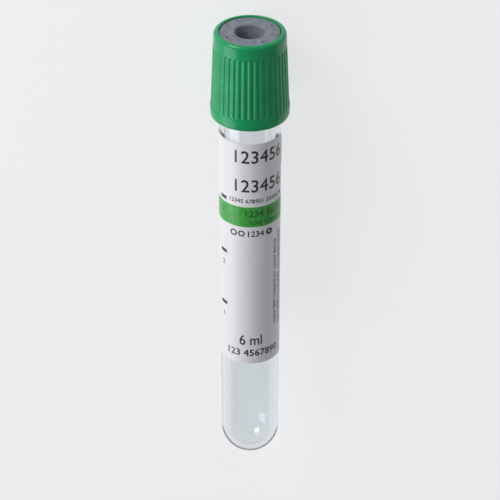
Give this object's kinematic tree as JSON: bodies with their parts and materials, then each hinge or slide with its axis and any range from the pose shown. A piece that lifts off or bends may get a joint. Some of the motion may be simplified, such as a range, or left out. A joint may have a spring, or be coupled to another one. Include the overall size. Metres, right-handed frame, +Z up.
{
  "type": "blood collection tube",
  "caption": "Clear round-bottomed sample tube with a wrap-round label, closed by a rubber stopper in a ribbed green push-on cap. It lies on its side, label up.",
  "frame": {"origin": "on the surface the tube lies on, under the middle of its bounding box", "axes": "+Y along the tube towards the cap, +Z up out of the label's front, +X across"},
  "size_m": [0.0166, 0.1054, 0.0166],
  "materials": {
    "clear_plastic": "clear moulded plastic, polished",
    "grey_rubber": "matte grey rubber, faintly mottled",
    "green_plastic": "smooth moulded plastic, soft gloss",
    "label_sheet": "white coated label sheet",
    "green_ink": "printed green field on the label"
  },
  "bodies": {
    "tube": {"tube": "clear_plastic", "label": "label_sheet", "label_band": "green_ink", "label_tab": "green_ink"},
    "closure": {"stopper": "grey_rubber", "cap": "green_plastic"}
  },
  "joints": [
    {"name": "closure_pull", "type": "slide", "parent": "tube", "child": "closure", "axis": [0, 0.9997, 0.0249], "range_m": [0, 0.03]}
  ]
}
